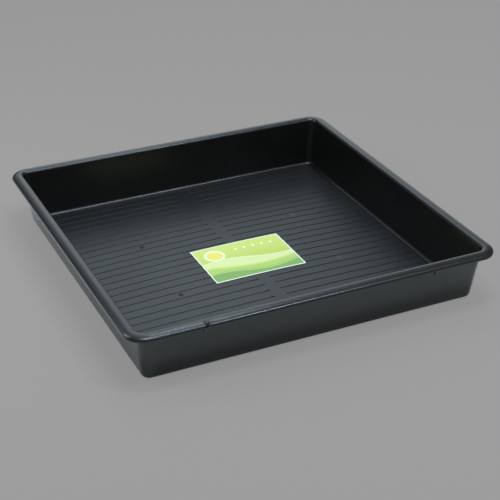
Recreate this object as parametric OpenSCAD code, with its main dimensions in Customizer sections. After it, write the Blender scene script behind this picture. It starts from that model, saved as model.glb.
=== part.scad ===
// Square drip tray for plant pots, with a rolled rim, leaning walls and a ribbed, slightly domed floor.
// One skin of even thickness runs from the floor, up the wall and over the rim.
// The origin is on the resting face, at the middle of the tray. Millimetres, +Z up.

/* [Tray] */
// Outer width of the square tray, over the rim
tray_w = 800; // [500:10:1200]
// Height from the resting face to the top of the rim
tray_h = 116; // [70:1:160]
// Thickness of floor, wall and rim
skin_t = 2.6; // [2:0.1:3.6]
// Outward lean of the walls, in degrees
wall_draft = 7.2; // [3:0.1:10]

/* [Rim] */
// Width of the rim, from its outer face to the inside of the wall
rim_w = 26; // [22:1:40]
// Radius over which the wall turns into the rim
rim_inner_r = 7; // [5:0.5:10]
// Radius of the bow across the top of the rim
rim_top_r = 25; // [20:1:60]
// Radius over which the rim turns down into the skirt
rim_outer_r = 7; // [5:0.5:9]
// How much lower the outer turn sits than the inner one
rim_fall = 1.5; // [0.5:0.5:4]
// Length of the straight skirt below the outer turn
skirt_l = 1; // [0.5:0.5:15]

/* [Floor] */
// Inside radius of the bend between floor and wall
foot_r = 7; // [3:0.5:10]
// Plan radius of the floor's corners, at the start of the bend
floor_corner_r = 2; // [1:0.5:20]
// Rise of the floor's middle above its edge
floor_crown = 9; // [3:0.5:15]
// Width of the flat margin between the dome and the bend
floor_margin = 10; // [5:1:40]

/* [Ribs] */
// Distance from rib to rib
rib_pitch = 25; // [15:1:50]
// Width of a rib
rib_w = 3; // [2:0.5:8]
// Height of a rib above the floor
rib_h = 1; // [0.5:0.5:5]
// Width of the plain band that parts the ribs along the middle of the floor
rib_gap = 25; // [10:1:60]
// Least distance from a rib to the bend of the wall
rib_clear = 9; // [2:1:30]

/* [Gussets] */
// Distance between the two gussets of one side
gusset_spacing = 500; // [200:10:600]
// Thickness of a gusset
gusset_t = 5; // [2:0.5:6]
// How far a gusset reaches below the skirt
gusset_drop = 12; // [1:0.5:15]
// Distance from the inside of the skirt to the foot of a gusset
gusset_setback = 7; // [0.5:0.5:10]

/* [Gate pads] */
// Distance between the moulding gates along the ribs
gate_spacing_x = 372; // [150:2:400]
// Distance between the moulding gates across the ribs
gate_spacing_y = 225; // [100:5:400]
// Diameter of the round pad at a gate
gate_d = 11; // [6:1:20]
// Height of a pad above the floor
gate_h = 0.3; // [0.2:0.1:0.4]

/* [Label] */
// Width of the label
label_w = 210; // [60:1:400]
// Length of the label, front to back
label_l = 148; // [40:1:300]
// Thickness of the label
label_t = 0.3; // [0.2:0.05:0.6]
// Thickness of the glue between the ribs and the label
glue_t = 0.05; // [0.05:0.05:0.2]
// Sideways place of the label's centre
label_x = 3; // [-60:1:60]
// Front-to-back place of the label's centre
label_y = -33; // [-60:1:60]

/* [Hidden] */
tray_colour = "#25292c";
label_colour = "#b9cf4a";

// Steps of a bend, and facets of a corner, the dome's outline, its section and a gate pad
bend_steps = 8;
corner_fn = 64;
dome_fn = 180;
section_fn = 1440;
gate_fn = 32;

// Turns of the rim, measured from the top of the inner turn
turn_in = [0, -rim_inner_r];
turn_out = [rim_w - rim_inner_r - rim_outer_r, -rim_fall - rim_outer_r];
turn_gap = norm(turn_out - turn_in);
turn_way = (turn_out - turn_in) / turn_gap;

// Centre of the bow that touches both turns, and the directions to the two places where it does
bow_in = rim_top_r - rim_inner_r;
bow_out = rim_top_r - rim_outer_r;
bow_along = (bow_in * bow_in - bow_out * bow_out + turn_gap * turn_gap) / (2 * turn_gap);
bow_below = sqrt(bow_in * bow_in - bow_along * bow_along);
bow = turn_in + bow_along * turn_way + bow_below * [turn_way.y, -turn_way.x];
bow_from = atan2(turn_in.y - bow.y, turn_in.x - bow.x);
bow_to = atan2(turn_out.y - bow.y, turn_out.x - bow.x);
bow_rise = bow_from > 90 ? bow.y + rim_top_r : 0;

// Centres of the bends of the section, as distances from the tray's middle and heights
half_w = tray_w / 2;
rim_at = [half_w - rim_w + rim_inner_r, tray_h - bow_rise];
inner_roll = rim_at + turn_in;
rim_bow = rim_at + bow;
outer_roll = rim_at + turn_out;
skirt_z = outer_roll.y - skirt_l;
wall_in = [cos(wall_draft), -sin(wall_draft)];
wall_top = inner_roll - rim_inner_r * wall_in;
wall_foot_z = skin_t + foot_r - foot_r * sin(wall_draft);
wall_foot_x = wall_top.x - (wall_top.y - wall_foot_z) * tan(wall_draft);
foot = [wall_foot_x - foot_r * cos(wall_draft), skin_t + foot_r];

// Place of the upright axis that the section turns about at each corner
corner_at = foot.x - floor_corner_r;

// The dome rises from a circle on the resting face. Its layers are concentric spheres
dome_r = foot.x - floor_margin;
dome_sphere_r = (dome_r * dome_r + floor_crown * floor_crown) / (2 * floor_crown);
dome_centre_z = floor_crown - dome_sphere_r;
floor_half = corner_at + floor_corner_r / 2;
floor_reach = 2 * floor_half;

// Rows of ribs on each side of the middle row, and how far they run out
rib_end = foot.x - rib_clear;
rib_rows = floor((rib_end - rib_w / 2) / rib_pitch);
rib_root = skin_t / 2;
rib_top = skin_t + rib_h;

// Height of the label's underside over the resting face's dome
label_bed = rib_top + glue_t;

// Points of a bend of radius r about a centre, from one angle to another, with or without the first point
function bend(centre, r, from, to, first = 0) =
    [for (i = [first : bend_steps])
        let (a = from + (to - from) * i / bend_steps)
            centre + r * [cos(a), sin(a)]];

// A point of the section, measured from the corner's axis and not from the tray's middle
function from_axis(point) = [point.x - corner_at, point.y];

// The rim's turns and bow at a depth below the side that shows, from the top of the wall to the skirt
function rim_face(depth) = concat(
    bend(inner_roll, rim_inner_r - depth, 180 - wall_draft, bow_from),
    bend(rim_bow, rim_top_r - depth, bow_from, bow_to, 1),
    bend(outer_roll, rim_outer_r - depth, bow_to, 0, 1));

// The face of the skin at a depth below the side that shows: 0 is that side, skin_t is the hidden side
function skin_face(depth) = concat(
    [[0, skin_t - depth]],
    bend(from_axis(foot), foot_r + depth, -90, -wall_draft),
    [for (point = rim_face(depth)) from_axis(point)],
    [from_axis([half_w - depth, skirt_z])]);

function reversed(list) = [for (i = [len(list) - 1 : -1 : 0]) list[i]];

// Section of floor edge, wall and rim, drawn outwards from the corner's axis
module skin_section() {
    polygon(concat(skin_face(0), reversed(skin_face(skin_t))));
}

// Turns a section that is drawn outwards and upwards into a run along the right side of the tray
module along_side(length) {
    rotate([90, 0, 0])
        linear_extrude(height = length, center = true)
            children();
}

// The wall and rim: a straight run on each side, and a turn at each corner
module wall_and_rim() {
    for (side = [0 : 3])
        rotate([0, 0, 90 * side]) {
            translate([corner_at, 0, 0])
                along_side(2 * corner_at)
                    skin_section();
            translate([corner_at, corner_at, 0])
                rotate_extrude(angle = 90, $fn = corner_fn)
                    skin_section();
        }
}

// Half section of everything below one layer of the dome
module below_layer(height) {
    if (height > 0)
        square([floor_reach, height]);
    intersection() {
        translate([0, dome_centre_z])
            circle(r = dome_sphere_r + height, $fn = section_fn);
        square([floor_reach, floor_crown + height]);
    }
}

// A domed sheet between two heights over the underside of the floor
module domed_sheet(from, to) {
    rotate_extrude($fn = dome_fn)
        difference() {
            below_layer(to);
            below_layer(from);
        }
}

// Floor plate under the ribs
module floor_plate() {
    intersection() {
        domed_sheet(0, skin_t);
        linear_extrude(height = floor_crown + rib_top)
            square(2 * floor_half, center = true);
    }
}

// Rows of ribs across the floor, parted along the middle
module ribs() {
    rib_l = rib_end - rib_gap / 2;
    intersection() {
        domed_sheet(rib_root, rib_top);
        linear_extrude(height = floor_crown + 2 * rib_top)
            for (row = [-rib_rows : rib_rows], side = [-1, 1])
                translate([side * (rib_gap + rib_l) / 2, row * rib_pitch])
                    square([rib_l, rib_w], center = true);
    }
}

// Round pads on the floor, where the plastic was fed into the mould
module gate_pads() {
    intersection() {
        domed_sheet(rib_root, skin_t + gate_h);
        linear_extrude(height = floor_crown + 2 * rib_top)
            for (x = [-1, 1], y = [-1, 1])
                translate([x * gate_spacing_x / 2, y * gate_spacing_y / 2])
                    circle(d = gate_d, $fn = gate_fn);
    }
}

// Section of a gusset, which fills the space between wall, rim and skirt and ends level below the skirt
module gusset_section() {
    mid = skin_t / 2;
    end_z = skirt_z - gusset_drop;
    wall_x = wall_top.x + mid / cos(wall_draft) - (wall_top.y - end_z) * tan(wall_draft);
    polygon(concat(
        [[wall_x, end_z]],
        rim_face(mid),
        [[half_w - skin_t - gusset_setback, end_z]]));
}

// Two gussets under the rim on each side
module gussets() {
    for (side = [0 : 3], end = [-1, 1])
        rotate([0, 0, 90 * side])
            translate([0, end * gusset_spacing / 2, 0])
                along_side(gusset_t)
                    gusset_section();
}

module tray() {
    color(tray_colour)
        union() {
            wall_and_rim();
            floor_plate();
            ribs();
            gate_pads();
            gussets();
        }
}

// Printed paper label, lying on the ribs
module label() {
    color(label_colour)
        intersection() {
            domed_sheet(label_bed, label_bed + label_t);
            translate([label_x, label_y, 0])
                linear_extrude(height = floor_crown + 2 * label_bed)
                    square([label_w, label_l], center = true);
        }
}

tray();
label();
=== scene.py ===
import math

import bpy
from mathutils import Matrix, Vector


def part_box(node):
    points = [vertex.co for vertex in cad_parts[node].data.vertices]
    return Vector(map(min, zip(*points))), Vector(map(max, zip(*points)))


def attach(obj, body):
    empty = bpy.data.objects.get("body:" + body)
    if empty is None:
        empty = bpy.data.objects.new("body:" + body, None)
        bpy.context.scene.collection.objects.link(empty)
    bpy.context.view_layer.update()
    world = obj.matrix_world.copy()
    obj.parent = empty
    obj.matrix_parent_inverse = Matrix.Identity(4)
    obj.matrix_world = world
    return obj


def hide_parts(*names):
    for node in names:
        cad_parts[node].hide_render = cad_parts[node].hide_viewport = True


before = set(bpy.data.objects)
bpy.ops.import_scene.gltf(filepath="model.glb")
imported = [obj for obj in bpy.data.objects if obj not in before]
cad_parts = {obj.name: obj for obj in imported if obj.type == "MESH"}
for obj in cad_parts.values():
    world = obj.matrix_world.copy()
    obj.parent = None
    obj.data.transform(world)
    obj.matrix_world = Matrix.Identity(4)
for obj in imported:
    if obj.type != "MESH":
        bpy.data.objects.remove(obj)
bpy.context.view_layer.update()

# Sizes of the moulding, in metres. The overall ones come from the frame
MM = 0.001
tray_low, tray_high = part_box("tray")
label_low, label_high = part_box("label")
HALF_W = (tray_high[0] - tray_low[0]) / 2
TOP_Z = tray_high[2]
SKIN = 2.6 * MM
WALL_LEAN = math.radians(7.2)
RIM_W = 26 * MM
RIM_INNER_R = 7 * MM
RIM_TOP_R = 25 * MM
RIM_OUTER_R = 7 * MM
RIM_FALL = 1.5 * MM
SKIRT_L = 1 * MM
FOOT_R = 7 * MM
FLOOR_CROWN = 9 * MM

# Ribs of the floor. The profile gives millimetres across a rib and shares of its height
RIB_PITCH = 25 * MM
RIB_ROWS = 13
RIB_H = 1.0 * MM
RIB_GAP = 25 * MM
RIB_END = 345 * MM
RIB_SLOPE = 1.5 * MM
RIB_STEPS = 26
BAND_STEP = 4 * MM
ROW_LEAST = 0.1 * MM
RIB_PROFILE = ((-1.6, 0.0), (-1.35, 0.75), (-0.8, 1.0), (0.8, 1.0), (1.35, 0.75), (1.6, 0.0))

# Plan corners: the upright line that a corner turns about, at the foot and at the rim
CORNER_FOOT = 346.5 * MM
CORNER_RIM = 358 * MM
CORNER_STEPS = 14

# Gussets under the rim
GUSSET_AT = 250 * MM
GUSSET_T = 5 * MM
GUSSET_DROP = 12 * MM
GUSSET_SETBACK = 7 * MM
GUSSET_BITE = 0.3 * MM

# Crease in the rim over the front left gusset: a groove with a ridge beside it. The steps are millimetres
CREASE_REACH = 14 * MM
CREASE_RAMP = 1.5
CREASE_BELOW = 1 * MM
CREASE_STEPS = (-7.0, -4.5, -3.0, -2.0, -1.2, -0.5, 0.0, 0.5, 1.2, 2.0, 3.0, 4.5, 7.0)
CREASE_CLEAR = 1.2
CREASE_GROOVE_AT, CREASE_GROOVE_W, CREASE_GROOVE_D = 0.2 * MM, 1.2 * MM, 2.1 * MM
CREASE_RIDGE_AT, CREASE_RIDGE_W, CREASE_RIDGE_H = 3.0 * MM, 1.5 * MM, 0.9 * MM
CREASE_SINK = 0.7
CREASE_TUCK = 2.0 * MM
CREASE_TUCK_H = 5.0 * MM

# Rounded lip of the skirt
LIP_DROP = 0.5 * MM
LIP_SHARE = 0.25

# Pads left by the gates on the floor. Each ring is a share of the radius and of the height
GATE_AT = (186 * MM, 112.5 * MM)
GATE_R = 5.5 * MM
GATE_H = 0.3 * MM
GATE_STEPS = 28
GATE_RINGS = ((1.0, -0.6), (1.0, 0.5), (0.88, 1.0))

# Camera of the photograph, in the tray's frame
CAMERA_AT = Vector((-1.01870, -2.22257, 1.35613))
CAMERA_FORWARD = Vector((0.372453, 0.793529, -0.481239))
CAMERA_LENS = 91.70
SENSOR_W = 36.0

# Bends and walls: how many steps each is drawn with, and how many times fewer on the rim's hidden side
FOOT_STEPS = 7
WALL_STEPS = 8
ROLL_STEPS = 12
BOW_STEPS = 14
HIDDEN_COARSER = 2


# Section of the skin

def bend(centre, radius, start, end, steps):
    """Points of an arc in the section plane, as distance from the tray's middle and height."""
    points = []
    for i in range(steps + 1):
        a = math.radians(start + (end - start) * i / steps)
        points.append((centre[0] + radius * math.cos(a), centre[1] + radius * math.sin(a)))
    return points


def rim_bow():
    """Centre of the bow over the rim's two turns, the directions to where it meets them, and its rise.

    The centre and the rise are measured from the top of the inner turn.
    """
    gap_x, gap_z = RIM_W - RIM_INNER_R - RIM_OUTER_R, RIM_INNER_R - RIM_OUTER_R - RIM_FALL
    gap = math.hypot(gap_x, gap_z)
    way_x, way_z = gap_x / gap, gap_z / gap
    to_inner, to_outer = RIM_TOP_R - RIM_INNER_R, RIM_TOP_R - RIM_OUTER_R
    along = (to_inner ** 2 - to_outer ** 2 + gap ** 2) / (2 * gap)
    below = math.sqrt(to_inner ** 2 - along ** 2)
    centre = (along * way_x + below * way_z, -RIM_INNER_R + along * way_z - below * way_x)
    start = math.atan2(-RIM_INNER_R - centre[1], -centre[0])
    end = math.atan2(-RIM_FALL - RIM_OUTER_R - centre[1], gap_x - centre[0])
    return centre, math.degrees(start), math.degrees(end), centre[1] + RIM_TOP_R


LEAN_DEG = math.degrees(WALL_LEAN)
BOW, BOW_START, BOW_END, BOW_RISE = rim_bow()
RIM_AT = (HALF_W - RIM_W + RIM_INNER_R, TOP_Z - BOW_RISE)
INNER_ROLL = (RIM_AT[0], RIM_AT[1] - RIM_INNER_R)
RIM_BOW = (RIM_AT[0] + BOW[0], RIM_AT[1] + BOW[1])
OUTER_ROLL = (HALF_W - RIM_OUTER_R, RIM_AT[1] - RIM_FALL - RIM_OUTER_R)
SKIRT_Z = OUTER_ROLL[1] - SKIRT_L
WALL_TOP = (
    INNER_ROLL[0] - RIM_INNER_R * math.cos(WALL_LEAN),
    INNER_ROLL[1] + RIM_INNER_R * math.sin(WALL_LEAN),
)
WALL_FOOT_Z = SKIN + FOOT_R - FOOT_R * math.sin(WALL_LEAN)
WALL_FOOT_X = WALL_TOP[0] - (WALL_TOP[1] - WALL_FOOT_Z) * math.tan(WALL_LEAN)
FOOT = (WALL_FOOT_X - FOOT_R * math.cos(WALL_LEAN), SKIN + FOOT_R)


def between(a, b, steps):
    """Points strictly between two points of the section."""
    return [
        (a[0] + (b[0] - a[0]) * i / steps, a[1] + (b[1] - a[1]) * i / steps)
        for i in range(1, steps)
    ]


def rim_face(depth, coarser=1):
    """The rim's turns and bow at a depth below the side that shows, from the wall to the skirt."""
    roll_steps, bow_steps = ROLL_STEPS // coarser, BOW_STEPS // coarser
    return (
        bend(INNER_ROLL, RIM_INNER_R - depth, 180 - LEAN_DEG, BOW_START, roll_steps)
        + bend(RIM_BOW, RIM_TOP_R - depth, BOW_START, BOW_END, bow_steps)[1:]
        + bend(OUTER_ROLL, RIM_OUTER_R - depth, BOW_END, 0, roll_steps)[1:]
    )


def skin_face(depth, coarser=1):
    """One face of the skin, from the floor up over the rim: depth 0 is the side that shows."""
    foot = bend(FOOT, FOOT_R + depth, -90, -LEAN_DEG, FOOT_STEPS)
    rim = rim_face(depth, coarser)
    return foot + between(foot[-1], rim[0], WALL_STEPS) + rim + [(HALF_W - depth, SKIRT_Z)]


def corner_axis(z):
    """Distance from the tray's middle to the line that a corner turns about, at a height."""
    share = (z - WALL_FOOT_Z) / (WALL_TOP[1] - WALL_FOOT_Z)
    return CORNER_FOOT + (CORNER_RIM - CORNER_FOOT) * min(1.0, max(0.0, share))


# Rows and columns of the floor

def floor_columns():
    """Places across the ribs' length: the middle band, the ribs' sloping ends and even steps between."""
    right = [BAND_STEP, RIB_GAP / 2, RIB_GAP / 2 + RIB_SLOPE]
    first, last = right[-1], RIB_END - RIB_SLOPE
    right += [first + (last - first) * i / RIB_STEPS for i in range(1, RIB_STEPS + 1)]
    right += [RIB_END, CORNER_FOOT]
    right = [x for x in right if abs(x - GUSSET_AT) > CREASE_STEPS[-1] * MM * CREASE_CLEAR]
    right += [GUSSET_AT + step * MM for step in CREASE_STEPS]
    right.sort()
    return [-x for x in reversed(right)] + [0.0] + right


def floor_rows():
    """(place, share of the rib's height) for each row of the floor, front to back."""
    rows = [(-CORNER_FOOT, 0.0)]
    for k in range(-RIB_ROWS, RIB_ROWS + 1):
        rows.append((k * RIB_PITCH - RIB_PITCH / 2, 0.0))
        rows += [(k * RIB_PITCH + y * MM, share) for y, share in RIB_PROFILE]
    rows.append((RIB_ROWS * RIB_PITCH + RIB_PITCH / 3, 0.0))
    rows.append((CORNER_FOOT, 0.0))
    return [r for i, r in enumerate(rows) if i == 0 or r[0] > rows[i - 1][0] + ROW_LEAST]


def crown(x, y):
    """Rise of the floor over its edge: highest in the middle and nothing at the walls."""
    across = math.cos(math.pi / 2 * min(1.0, abs(x) / CORNER_FOOT))
    along = math.cos(math.pi / 2 * min(1.0, abs(y) / CORNER_FOOT))
    return FLOOR_CROWN * across * along


def rib_share(x):
    """Share of the rib's height at a place along it: nothing in the middle band and past the ends."""
    inner = (abs(x) - RIB_GAP / 2) / RIB_SLOPE
    outer = (RIB_END - abs(x)) / RIB_SLOPE
    return max(0.0, min(1.0, inner, outer))


# The moulding as one closed mesh

def crease_move(x, h, z):
    """How far the crease over the front left gusset pushes a point of the rim in and down."""
    off = x + GUSSET_AT
    reach = (h - HALF_W + CREASE_REACH) / CREASE_REACH
    if abs(off) > CREASE_STEPS[-1] * MM or z < SKIRT_Z - CREASE_BELOW or reach <= 0:
        return 0.0, 0.0
    groove = math.exp(-((off - CREASE_GROOVE_AT) / CREASE_GROOVE_W) ** 2)
    ridge = math.exp(-((off - CREASE_RIDGE_AT) / CREASE_RIDGE_W) ** 2)
    low = max(0.0, 1 - (z - SKIRT_Z) / CREASE_TUCK_H)
    depth = (CREASE_GROOVE_D * groove - CREASE_RIDGE_H * ridge) * min(1.0, CREASE_RAMP * reach)
    return depth, depth * CREASE_SINK - low * groove * CREASE_TUCK


def ring(h, z, columns, rows):
    """Points round the tray at one station of the section, from the front left corner anticlockwise."""
    axis = corner_axis(z)
    radius = h - axis

    def corner(sx, sy, start):
        arc = []
        for k in range(CORNER_STEPS + 1):
            a = math.radians(start + 90 * k / CORNER_STEPS)
            arc.append(Vector((sx * axis + radius * math.cos(a), sy * axis + radius * math.sin(a), z)))
        return arc

    front = []
    for x in columns[1:-1]:
        inwards, down = crease_move(x, h, z)
        front.append(Vector((x, max(-HALF_W, -h + inwards), min(TOP_Z, z - down))))
    right = [Vector((h, y, z)) for y in rows[1:-1]]
    back = [Vector((x, h, z)) for x in reversed(columns[1:-1])]
    left = [Vector((-h, y, z)) for y in reversed(rows[1:-1])]
    return (
        front + corner(1, -1, -90)
        + right + corner(1, 1, 0)
        + back + corner(-1, 1, 90)
        + left + corner(-1, -1, 180)
    )


class Mesh:
    """Collects points and faces of one piece."""

    def __init__(self):
        self.points = []
        self.faces = []

    def add(self, points):
        """Adds points and gives their numbers."""
        first = len(self.points)
        self.points += [tuple(p) for p in points]
        return list(range(first, len(self.points)))

    def bridge(self, a, b):
        """Quads between two closed rings of equal length."""
        for i in range(len(a)):
            j = (i + 1) % len(a)
            self.faces.append((a[i], a[j], b[j], b[i]))

    def prism(self, low, high):
        """A closed prism between two like outlines."""
        a, b = self.add(low), self.add(high)
        self.bridge(a, b)
        self.faces.append(tuple(reversed(a)))
        self.faces.append(tuple(b))

    def build(self, name, sharp_deg):
        """Makes the piece, smooth but for the edges that are sharper than an angle."""
        mesh = bpy.data.meshes.new(name)
        mesh.from_pydata(self.points, [], self.faces)
        mesh.validate()
        mesh.shade_smooth()
        mesh.set_sharp_from_angle(angle=math.radians(sharp_deg))
        piece = bpy.data.objects.new(name, mesh)
        bpy.context.scene.collection.objects.link(piece)
        return piece


def floor_sheet(mesh, columns, rows, edge, height, upward):
    """Grid of the floor inside one ring of the section, joined to that ring."""
    grid = [mesh.add(Vector((x, y, height(x, y, share))) for x in columns) for y, share in rows]
    n, m = len(columns) - 1, len(rows) - 1
    corner = CORNER_STEPS + 1
    places = iter(edge)

    def take(count):
        return [next(places) for _ in range(count)]

    front, c_fr = take(n - 1), take(corner)
    right, c_rb = take(m - 1), take(corner)
    back, c_bl = take(n - 1), take(corner)
    left, c_lf = take(m - 1), take(corner)
    sides = (
        ([c_lf[-1]] + front + [c_fr[0]], grid[0]),
        ([c_fr[-1]] + right + [c_rb[0]], [row[n] for row in grid]),
        ([c_rb[-1]] + back + [c_bl[0]], grid[m][::-1]),
        ([c_bl[-1]] + left + [c_lf[0]], [row[0] for row in grid][::-1]),
    )
    faces = []
    for j in range(m):
        for i in range(n):
            faces.append((grid[j][i], grid[j][i + 1], grid[j + 1][i + 1], grid[j + 1][i]))
    for outer, inner in sides:
        for i in range(len(outer) - 1):
            faces.append((outer[i], outer[i + 1], inner[i + 1], inner[i]))
    for arc, middle in ((c_fr, grid[0][n]), (c_rb, grid[m][n]), (c_bl, grid[m][0]), (c_lf, grid[0][0])):
        for k in range(CORNER_STEPS):
            faces.append((middle, arc[k], arc[k + 1]))
    mesh.faces += faces if upward else [tuple(reversed(f)) for f in faces]


def gusset_outline():
    """Section of a gusset: it fills the hollow under the rim and ends level below the skirt."""
    bite = SKIN - GUSSET_BITE
    end_z = SKIRT_Z - GUSSET_DROP
    wall_x = WALL_TOP[0] + bite / math.cos(WALL_LEAN) - (WALL_TOP[1] - end_z) * math.tan(WALL_LEAN)
    return [(wall_x, end_z)] + rim_face(bite) + [(HALF_W - SKIN - GUSSET_SETBACK, end_z)]


def add_gussets(mesh):
    """Two gussets under the rim on each side, sunk a little into the skin."""
    outline = gusset_outline()
    for side in range(4):
        turn = Matrix.Rotation(side * math.pi / 2, 3, "Z")
        for end in (-1, 1):
            low = end * GUSSET_AT - GUSSET_T / 2
            faces = [[turn @ Vector((h, y, z)) for h, z in outline] for y in (low, low + GUSSET_T)]
            mesh.prism(*faces)


def add_gate_pads(mesh):
    """Low round pads with a bevelled edge, sunk a little into the floor."""
    for sx in (-1, 1):
        for sy in (-1, 1):
            x, y = sx * GATE_AT[0], sy * GATE_AT[1]
            base = SKIN + crown(x, y)
            rings = []
            for radius, z in GATE_RINGS:
                rings.append(mesh.add(
                    Vector((
                        x + GATE_R * radius * math.cos(2 * math.pi * k / GATE_STEPS),
                        y + GATE_R * radius * math.sin(2 * math.pi * k / GATE_STEPS),
                        base + GATE_H * z,
                    ))
                    for k in range(GATE_STEPS)
                ))
            mesh.bridge(rings[0], rings[1])
            mesh.bridge(rings[1], rings[2])
            mesh.faces.append(tuple(reversed(rings[0])))
            mesh.faces.append(tuple(rings[2]))


def make_tray():
    """The whole moulding: the skin from floor to lip and back below, then the gussets and the pads."""
    mesh = Mesh()
    columns = floor_columns()
    rows = floor_rows()
    row_places = [y for y, _ in rows]
    shown = skin_face(0)
    hidden = skin_face(SKIN, HIDDEN_COARSER)
    lip = [(HALF_W - SKIN * share, SKIRT_Z - LIP_DROP) for share in (LIP_SHARE, 1 - LIP_SHARE)]
    rings = [mesh.add(ring(h, z, columns, row_places)) for h, z in shown + lip + hidden[::-1]]
    for a, b in zip(rings, rings[1:]):
        mesh.bridge(b, a)
    floor_sheet(
        mesh, columns, rows, rings[0],
        lambda x, y, share: SKIN + crown(x, y) + RIB_H * share * rib_share(x), True,
    )
    floor_sheet(mesh, columns, rows, rings[-1], lambda x, y, share: crown(x, y), False)
    add_gussets(mesh)
    add_gate_pads(mesh)
    return mesh.build("tray_moulding", sharp_deg=32)


# The label

LABEL_T = 0.25 * MM
LABEL_LIFT = 0.08 * MM
LABEL_SAG = 0.7 * MM
LABEL_SAG_POWER = 0.8
LABEL_STEPS = (84, 74)
LABEL_W = label_high[0] - label_low[0]
LABEL_L = label_high[1] - label_low[1]
LABEL_RATIO = LABEL_W / LABEL_L


def label_height(x, y):
    """Underside of the paper: it lies on the ribs and dips a little between them."""
    phase = math.cos(2 * math.pi * y / RIB_PITCH)
    dip = LABEL_SAG * (0.5 - 0.5 * phase) ** LABEL_SAG_POWER
    return SKIN + RIB_H + crown(x, y) - dip + LABEL_LIFT


def make_label():
    """A thin sheet of paper over the ribs, with the print's own coordinates from 0 to 1."""
    mesh = Mesh()
    nx, ny = LABEL_STEPS
    faces_at = []
    for lift in (0.0, LABEL_T):
        faces_at.append([
            mesh.add(
                Vector((x, y, label_height(x, y) + lift))
                for x in (label_low[0] + LABEL_W * i / nx for i in range(nx + 1))
            )
            for y in (label_low[1] + LABEL_L * j / ny for j in range(ny + 1))
        ])
    under, over = faces_at
    for j in range(ny):
        for i in range(nx):
            mesh.faces.append((over[j][i], over[j][i + 1], over[j + 1][i + 1], over[j + 1][i]))
            mesh.faces.append((under[j][i], under[j + 1][i], under[j + 1][i + 1], under[j][i + 1]))
    for grid_edge in (
        [(0, i) for i in range(nx + 1)],
        [(j, nx) for j in range(ny + 1)],
        [(ny, i) for i in range(nx, -1, -1)],
        [(j, 0) for j in range(ny, -1, -1)],
    ):
        for (j0, i0), (j1, i1) in zip(grid_edge, grid_edge[1:]):
            mesh.faces.append((under[j0][i0], under[j1][i1], over[j1][i1], over[j0][i0]))
    piece = mesh.build("printed_label", sharp_deg=50)
    uv = piece.data.uv_layers.new(name="print")
    for loop in piece.data.loops:
        p = piece.data.vertices[loop.vertex_index].co
        uv.data[loop.index].uv = ((p.x - label_low[0]) / LABEL_W, (p.y - label_low[1]) / LABEL_L)
    return piece


# Materials

# Scales of the mottle's blotches and grain, and how strongly the grain shows as relief
PLASTIC_MOTTLE = (9.0, 1400.0)
PAPER_MOTTLE = (60.0, 2600.0)
GRAIN_STRENGTH = 0.06
PLASTIC_GRAIN_H = 0.2 * MM
PAPER_GRAIN_H = 0.1 * MM

# Charcoal plastic: colour, and roughness with what each mark adds to it or takes off
CHARCOAL_DARK = (0.0038, 0.0036, 0.0032, 1)
CHARCOAL_PALE = (0.0066, 0.0064, 0.0058, 1)
GATE_DARK = (0.005, 0.005, 0.005, 1)
# Painted reflection: the gate pads on the right half of the floor are given a pale colour, as if they caught
# the bright window, while the left ones keep the dark charcoal
GATE_PAINTED_REFLECTION = (0.062, 0.066, 0.070, 1)
GATE_REFLECTION_BLEND = 50 * MM
GATE_DULL_IN, GATE_DULL_OUT = 0.85, 1.05
PLASTIC_SPECULAR = 0.45
PLASTIC_ROUGH = 0.31
BLOTCH_ROUGH = 0.12
GRAIN_ROUGH = 0.06
STREAK_ROUGH = 0.03
STREAK_STRETCH = (70.0, 70.0, 5.0)
WALL_SMOOTHER = 0.14
GATE_ROUGHER = 0.42

# Inks of the label, and its bands and discs in shares of its width and length
INK_LIME_LOW = (0.36, 0.46, 0.05, 1)
INK_LIME_HIGH = (0.54, 0.60, 0.13, 1)
INK_CREAM = (0.74, 0.77, 0.52, 1)
INK_YELLOW = (0.76, 0.62, 0.10, 1)
INK_DOT = (0.80, 0.82, 0.68, 1)
INK_WEAR = (0.5, 0.55, 0.4, 1)
INK_WEAR_SHARE = 0.10
PAPER_WHITE = (0.76, 0.77, 0.66, 1)
PAPER_SPECULAR = 0.3
PAPER_ROUGH = 0.42
PAPER_BLOTCH_ROUGH = 0.15
BORDER_OUT, BORDER_IN = 0.011, 0.014
GROUND_LOW, GROUND_HIGH = 0.1, 0.95
STRIPE_AT = 0.022
STRIPE_CORE, STRIPE_EDGE = 0.003, 0.008
STRIPE_SHARE = 0.7
PRINT_SOFT = 0.006

# Each band: level, swing, waves, shift and ink
PRINT_BANDS = (
    (0.52, 0.07, 1.6, 0.4, (0.62, 0.66, 0.28, 1)),
    (0.36, 0.08, 1.3, 2.2, (0.38, 0.51, 0.08, 1)),
    (0.19, 0.06, 1.9, 0.9, (0.17, 0.33, 0.06, 1)),
)

# Each disc: place across and up, radius and ink
PRINT_DISCS = (
    (0.20, 0.73, 0.16, INK_CREAM),
    (0.20, 0.73, 0.12, INK_YELLOW),
    *((across, 0.80, 0.022, INK_DOT) for across in (0.46, 0.56, 0.66, 0.76, 0.86)),
)


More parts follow.
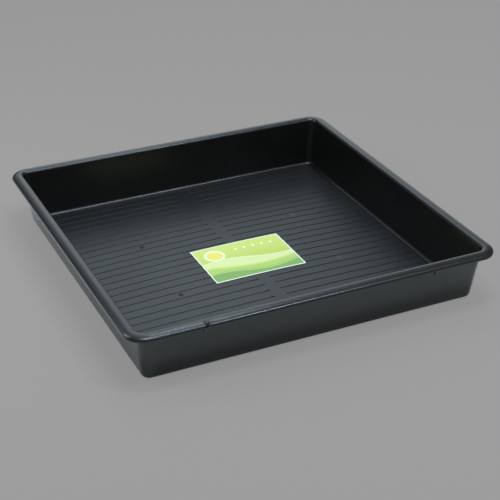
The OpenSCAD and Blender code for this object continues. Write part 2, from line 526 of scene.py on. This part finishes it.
class Nodes:
    """Short ways to place and join shader nodes in one tree."""

    def __init__(self, tree):
        self.tree = tree

    def new(self, kind, **settings):
        node = self.tree.nodes.new(kind)
        for key, value in settings.items():
            setattr(node, key, value)
        return node

    def put(self, value, socket):
        if isinstance(value, bpy.types.NodeSocket):
            self.tree.links.new(value, socket)
        else:
            socket.default_value = value

    def math(self, operation, a, b=0.0, clamp=False):
        node = self.new("ShaderNodeMath", operation=operation, use_clamp=clamp)
        self.put(a, node.inputs[0])
        self.put(b, node.inputs[1])
        return node.outputs[0]

    def ramp(self, value, low, high, out_low=0.0, out_high=1.0):
        node = self.new("ShaderNodeMapRange", clamp=True, interpolation_type="SMOOTHSTEP")
        for number, item in enumerate((value, low, high, out_low, out_high)):
            self.put(item, node.inputs[number])
        return node.outputs[0]

    def mix(self, share, a, b):
        node = self.new("ShaderNodeMix", data_type="RGBA")
        self.put(share, node.inputs["Factor"])
        self.put(a, node.inputs[6])
        self.put(b, node.inputs[7])
        return node.outputs[2]

    def noise(self, vector, scale, detail=3.0, roughness=0.5):
        node = self.new("ShaderNodeTexNoise")
        self.put(vector, node.inputs["Vector"])
        self.put(scale, node.inputs["Scale"])
        node.inputs["Detail"].default_value = detail
        node.inputs["Roughness"].default_value = roughness
        return node.outputs["Fac"]

    def split(self, vector):
        node = self.new("ShaderNodeSeparateXYZ")
        self.put(vector, node.inputs["Vector"])
        return node.outputs["X"], node.outputs["Y"], node.outputs["Z"]

    def bump(self, height, strength, distance, shader):
        """Fine relief on a shader, from a height that runs from 0 to 1."""
        node = self.new("ShaderNodeBump")
        node.inputs["Strength"].default_value = strength
        node.inputs["Distance"].default_value = distance
        self.put(height, node.inputs["Height"])
        self.put(node.outputs["Normal"], shader.inputs["Normal"])


def make_mottle_group():
    """Soft blotches and a fine grain, for any finish. Both run from 0 to 1 about a half."""
    group = bpy.data.node_groups.new("mottle", "ShaderNodeTree")
    face = group.interface
    face.new_socket("Vector", in_out="INPUT", socket_type="NodeSocketVector")
    for name in ("Blotch Scale", "Grain Scale"):
        face.new_socket(name, in_out="INPUT", socket_type="NodeSocketFloat")
    for name in ("Blotch", "Grain"):
        face.new_socket(name, in_out="OUTPUT", socket_type="NodeSocketFloat")
    n = Nodes(group)
    inside = n.new("NodeGroupInput")
    outside = n.new("NodeGroupOutput")
    vector = inside.outputs["Vector"]
    n.put(n.noise(vector, inside.outputs["Blotch Scale"]), outside.inputs["Blotch"])
    n.put(n.noise(vector, inside.outputs["Grain Scale"], detail=2.0), outside.inputs["Grain"])
    return group


mottle_group = make_mottle_group()


def new_material(name):
    """A material, the short ways for its tree, and its shader."""
    material = bpy.data.materials.new(name)
    material.use_nodes = True
    n = Nodes(material.node_tree)
    shader = material.node_tree.nodes["Principled BSDF"]
    return material, n, shader


def add_mottle(n, vector, blotch_scale, grain_scale):
    """Places the mottle group in a material and gives its blotches and its grain."""
    node = n.new("ShaderNodeGroup", node_tree=mottle_group)
    n.put(vector, node.inputs["Vector"])
    node.inputs["Blotch Scale"].default_value = blotch_scale
    node.inputs["Grain Scale"].default_value = grain_scale
    return node.outputs["Blotch"], node.outputs["Grain"]


def make_gate_mask(n, place):
    """1 on the four gate pads of the floor, where the plastic is left dull, and 0 elsewhere."""
    size = n.new("ShaderNodeVectorMath", operation="ABSOLUTE")
    n.put(place, size.inputs[0])
    off = n.new("ShaderNodeVectorMath", operation="SUBTRACT")
    n.put(size.outputs["Vector"], off.inputs[0])
    off.inputs[1].default_value = (GATE_AT[0], GATE_AT[1], 0.0)
    flat = n.new("ShaderNodeVectorMath", operation="MULTIPLY")
    n.put(off.outputs["Vector"], flat.inputs[0])
    flat.inputs[1].default_value = (1.0, 1.0, 0.0)
    far = n.new("ShaderNodeVectorMath", operation="LENGTH")
    n.put(flat.outputs["Vector"], far.inputs[0])
    return n.ramp(far.outputs["Value"], GATE_R * GATE_DULL_IN, GATE_R * GATE_DULL_OUT, 1.0, 0.0)


def make_plastic():
    """Charcoal polypropylene with a fine grain and faint marks, smoother on walls and rim than on the floor.

    The gate pads are dull, dark on the left half of the floor, and pale with a painted reflection on the
    right.
    """
    material, n, shader = new_material("moulded_polypropylene")
    place = n.new("ShaderNodeTexCoord").outputs["Object"]
    blotch, grain = add_mottle(n, place, *PLASTIC_MOTTLE)
    stretch = n.new("ShaderNodeVectorMath", operation="MULTIPLY")
    n.put(place, stretch.inputs[0])
    stretch.inputs[1].default_value = STREAK_STRETCH
    streak = n.noise(stretch.outputs["Vector"], 1.0)
    gate = make_gate_mask(n, place)
    charcoal = n.mix(blotch, CHARCOAL_DARK, CHARCOAL_PALE)
    x, y, _ = n.split(place)
    # Painted reflection on the gate pads: their colour fades from the dark charcoal on the left half to a
    # pale grey on the right half
    painted_reflection_share = n.ramp(x, -GATE_REFLECTION_BLEND, GATE_REFLECTION_BLEND)
    gate_colour_and_painted_reflection = n.mix(painted_reflection_share, GATE_DARK, GATE_PAINTED_REFLECTION)
    n.put(n.mix(gate, charcoal, gate_colour_and_painted_reflection), shader.inputs["Base Color"])
    rough = n.math("ADD", n.math("MULTIPLY", blotch, BLOTCH_ROUGH), PLASTIC_ROUGH)
    rough = n.math("ADD", rough, n.math("MULTIPLY", grain, GRAIN_ROUGH))
    rough = n.math("ADD", rough, n.math("MULTIPLY", n.math("SUBTRACT", streak, 0.5), STREAK_ROUGH))
    outwards = n.math("MAXIMUM", n.math("ABSOLUTE", x), n.math("ABSOLUTE", y))
    rough = n.math("SUBTRACT", rough, n.ramp(outwards, FOOT[0] - FOOT_R, FOOT[0], 0.0, WALL_SMOOTHER))
    n.put(n.math("ADD", rough, n.math("MULTIPLY", gate, GATE_ROUGHER)), shader.inputs["Roughness"])
    n.bump(grain, GRAIN_STRENGTH, PLASTIC_GRAIN_H, shader)
    shader.inputs["Specular IOR Level"].default_value = PLASTIC_SPECULAR
    return material


def make_print():
    """Coated paper, printed with a white border, a lime ground, rolling bands, a ringed disc and dots."""
    material, n, shader = new_material("printed_paper")
    uv = n.new("ShaderNodeUVMap", uv_map="print").outputs["UV"]
    u, v, _ = n.split(uv)
    place = n.new("ShaderNodeTexCoord").outputs["Object"]
    blotch, grain = add_mottle(n, place, *PAPER_MOTTLE)

    def band(under, level, swing, waves, shift, colour):
        """A rolling band up to a wavy line, with a thin pale stripe along its crest."""
        wave = n.math("SINE", n.math("ADD", n.math("MULTIPLY", u, waves * math.pi), shift))
        depth = n.math("SUBTRACT", n.math("ADD", n.math("MULTIPLY", wave, swing), level), v)
        filled = n.mix(n.ramp(depth, -PRINT_SOFT, PRINT_SOFT), under, colour)
        off = n.math("ABSOLUTE", n.math("SUBTRACT", depth, STRIPE_AT))
        stripe = n.ramp(off, STRIPE_CORE, STRIPE_EDGE, STRIPE_SHARE, 0.0)
        return n.mix(stripe, filled, INK_CREAM)

    def disc(under, at_u, at_v, radius, colour):
        """A round spot of ink over what is printed under it."""
        across = n.math("MULTIPLY", n.math("SUBTRACT", u, at_u), LABEL_RATIO)
        up = n.math("SUBTRACT", v, at_v)
        far = n.math("SQRT", n.math("ADD", n.math("MULTIPLY", across, across), n.math("MULTIPLY", up, up)))
        return n.mix(n.ramp(far, radius - PRINT_SOFT, radius + PRINT_SOFT, 1.0, 0.0), under, colour)

    print_colour = n.mix(n.ramp(v, GROUND_LOW, GROUND_HIGH), INK_LIME_LOW, INK_LIME_HIGH)
    for values in PRINT_BANDS:
        print_colour = band(print_colour, *values)
    for values in PRINT_DISCS:
        print_colour = disc(print_colour, *values)

    edge = n.math("MINIMUM", u, n.math("SUBTRACT", 1.0, u))
    edge_v = n.math("MULTIPLY", n.math("MINIMUM", v, n.math("SUBTRACT", 1.0, v)), 1 / LABEL_RATIO)
    border = n.ramp(n.math("MINIMUM", edge, edge_v), BORDER_OUT, BORDER_IN, 1.0, 0.0)
    print_colour = n.mix(border, print_colour, PAPER_WHITE)
    print_colour = n.mix(n.math("MULTIPLY", blotch, INK_WEAR_SHARE), print_colour, INK_WEAR)
    n.put(print_colour, shader.inputs["Base Color"])
    rough = n.math("ADD", n.math("MULTIPLY", blotch, PAPER_BLOTCH_ROUGH), PAPER_ROUGH)
    n.put(rough, shader.inputs["Roughness"])
    shader.inputs["Specular IOR Level"].default_value = PAPER_SPECULAR
    n.bump(grain, GRAIN_STRENGTH, PAPER_GRAIN_H, shader)
    return material


# Stage, lights and camera

# Table: its half width, the even grey that the camera sees and its share, and the colours that light sees:
# its own grey farther out and a painted pool of light round the tray, with where that pool starts to fade and
# where it ends
STAGE_SIZE = 30.0
STAGE_GREY = 0.336
STAGE_EVEN = 0.72
STAGE_SHADOWED = (0.310, 0.264, 0.236, 1)
TABLE_FAR = (0.62, 0.62, 0.62, 1)
TABLE_PAINTED_LIGHT_POOL = (0.80, 0.755, 0.70, 1)
PAINTED_POOL_FULL_TO, PAINTED_POOL_ENDS_AT = 0.6375, 1.0625
TABLE_ROUGH = 0.9

# Dome: its colours, low and high, its strength there, and the fill. Ramps give where a change starts and ends
LIGHT_COLOUR = (0.83, 0.985, 1.10)
LOW_COLOUR = (0.97, 0.97, 0.95)
HIGH_RAMP = (0.15, 0.5)
DOME_RAMP = (0.45, 0.9)
DOME_LOW, DOME_HIGH = 0.20, 0.45
FILL_RAMP = (-0.1, -0.6)
FILL_STRENGTH = 0.40

# Soft round lights on the dome: direction, cosines of the angles where each ends and is full, and strength
WINDOW = ((0.110, 0.780, 0.616), 0.910, 0.978, 1.40)
WINDOW_TOP = ((0.020, 0.525, 0.850), 0.945, 0.99, 0.3)
BACKDROP = ((0.460, 0.868, 0.191), 0.927, 0.985, 0.85)
WINDOW_LEFT_RAMP = (-0.02, 0.26)
WINDOW_LEFT_SHARE = 0.30

# Softboxes: where each hangs, what it faces, its width and length, and its power in watts
SOFTBOXES = {
    "overhead_softbox": ((0.00, -0.40, 3.33), (0.00, -0.40, 0.0), (1.2, 0.9), 51),
    "rim_softbox": ((1.25, -1.55, 3.33), (1.25, -1.55, 0.0), (0.3, 0.5), 38),
    "strip_light": ((1.12, 1.75, 3.83), (1.12, 1.75, 0.0), (0.35, 1.9), 26),
    "left_softbox": ((-1.35, 0.60, 0.9), (-0.75, 0.45, 0.0), (0.7, 1.2), 11),
}


def make_floor():
    """A wide pale table: to the camera an even grey with the tray's soft shadow on it; to light a grey with a
    painted pool of light round the tray.
    """
    mesh = Mesh()
    corners = mesh.add((x * STAGE_SIZE, y * STAGE_SIZE, 0) for x, y in ((-1, -1), (1, -1), (1, 1), (-1, 1)))
    mesh.faces.append(tuple(corners))
    floor = mesh.build("stage_floor", sharp_deg=30)
    material, n, shader = new_material("stage_grey")
    pool_distance = n.new("ShaderNodeVectorMath", operation="LENGTH")
    n.put(n.new("ShaderNodeTexCoord").outputs["Object"], pool_distance.inputs[0])
    # Painted pool of light: to light rays the table is paler near the tray's middle and fades to its own grey
    # farther out
    painted_pool = n.ramp(pool_distance.outputs["Value"], PAINTED_POOL_FULL_TO, PAINTED_POOL_ENDS_AT, 1.0, 0.0)
    n.put(n.mix(painted_pool, TABLE_FAR, TABLE_PAINTED_LIGHT_POOL), shader.inputs["Base Color"])
    shader.inputs["Roughness"].default_value = TABLE_ROUGH
    shader.inputs["Specular IOR Level"].default_value = 0.0
    shadowed = n.new("ShaderNodeBsdfDiffuse")
    shadowed.inputs["Color"].default_value = STAGE_SHADOWED
    even = n.new("ShaderNodeEmission")
    even.inputs["Color"].default_value = (STAGE_GREY, STAGE_GREY, STAGE_GREY, 1)
    seen = n.new("ShaderNodeMixShader")
    seen.inputs["Fac"].default_value = STAGE_EVEN
    n.put(shadowed.outputs["BSDF"], seen.inputs[1])
    n.put(even.outputs["Emission"], seen.inputs[2])
    choose = n.new("ShaderNodeMixShader")
    n.put(n.new("ShaderNodeLightPath").outputs["Is Camera Ray"], choose.inputs["Fac"])
    n.put(shader.outputs["BSDF"], choose.inputs[1])
    n.put(seen.outputs["Shader"], choose.inputs[2])
    n.put(choose.outputs["Shader"], material.node_tree.nodes["Material Output"].inputs["Surface"])
    floor.data.materials.append(material)


def make_world():
    """A studio dome: dim all round and softly brighter on the camera's side.

    Behind the tray stand a tall soft window, which fades to its left, and a low pale backdrop.
    """
    world = bpy.data.worlds.new("studio_dome")
    world.use_nodes = True
    bpy.context.scene.world = world
    n = Nodes(world.node_tree)
    background = world.node_tree.nodes["Background"]
    direction = n.new("ShaderNodeTexCoord").outputs["Generated"]

    def glow(towards, edge, full, strength):
        """Strength of a soft round light, from the cosine of the angle to its middle."""
        node = n.new("ShaderNodeVectorMath", operation="DOT_PRODUCT")
        n.put(direction, node.inputs[0])
        node.inputs[1].default_value = Vector(towards).normalized()
        return n.math("MULTIPLY", n.ramp(node.outputs["Value"], edge, full), strength)

    x, y, z = n.split(direction)
    dome = n.ramp(z, *DOME_RAMP, DOME_LOW, DOME_HIGH)
    left_fade = n.ramp(x, *WINDOW_LEFT_RAMP, WINDOW_LEFT_SHARE, 1.0)
    window = n.math("ADD", n.math("MULTIPLY", glow(*WINDOW), left_fade), glow(*WINDOW_TOP))
    behind = n.math("ADD", window, glow(*BACKDROP))
    high = n.ramp(z, *HIGH_RAMP)
    fill = n.math("MULTIPLY", n.math("MULTIPLY", n.ramp(y, *FILL_RAMP), high), FILL_STRENGTH)
    n.put(n.math("ADD", n.math("ADD", dome, behind), fill), background.inputs["Strength"])
    n.put(n.mix(high, (*LOW_COLOUR, 1), (*LIGHT_COLOUR, 1)), background.inputs["Color"])


def add_softbox(name, at, aim, size, power):
    """A rectangular lamp that faces a point."""
    data = bpy.data.lights.new(name, "AREA")
    data.shape = "RECTANGLE"
    data.size, data.size_y = size
    data.energy = power
    data.color = LIGHT_COLOUR
    light = bpy.data.objects.new(name, data)
    light.location = at
    light.rotation_euler = (Vector(aim) - Vector(at)).to_track_quat("-Z", "Y").to_euler()
    bpy.context.scene.collection.objects.link(light)


def make_camera():
    """The camera of the photograph."""
    data = bpy.data.cameras.new("camera")
    data.lens = CAMERA_LENS
    data.sensor_width = SENSOR_W
    camera = bpy.data.objects.new("camera", data)
    camera.location = CAMERA_AT
    camera.rotation_euler = CAMERA_FORWARD.to_track_quat("-Z", "Y").to_euler()
    bpy.context.scene.collection.objects.link(camera)
    bpy.context.scene.camera = camera


# The pieces, each with its body, the node that it replaces and its material slot

tray = make_tray()
tray.data.materials.append(make_plastic())
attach(tray, "root")
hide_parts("tray")

label = make_label()
label.data.materials.append(make_print())
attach(label, "root")
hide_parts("label")

# The stage and the picture

make_floor()
make_world()
for name, values in SOFTBOXES.items():
    add_softbox(name, *values)
make_camera()
bpy.context.scene.view_settings.view_transform = "Standard"
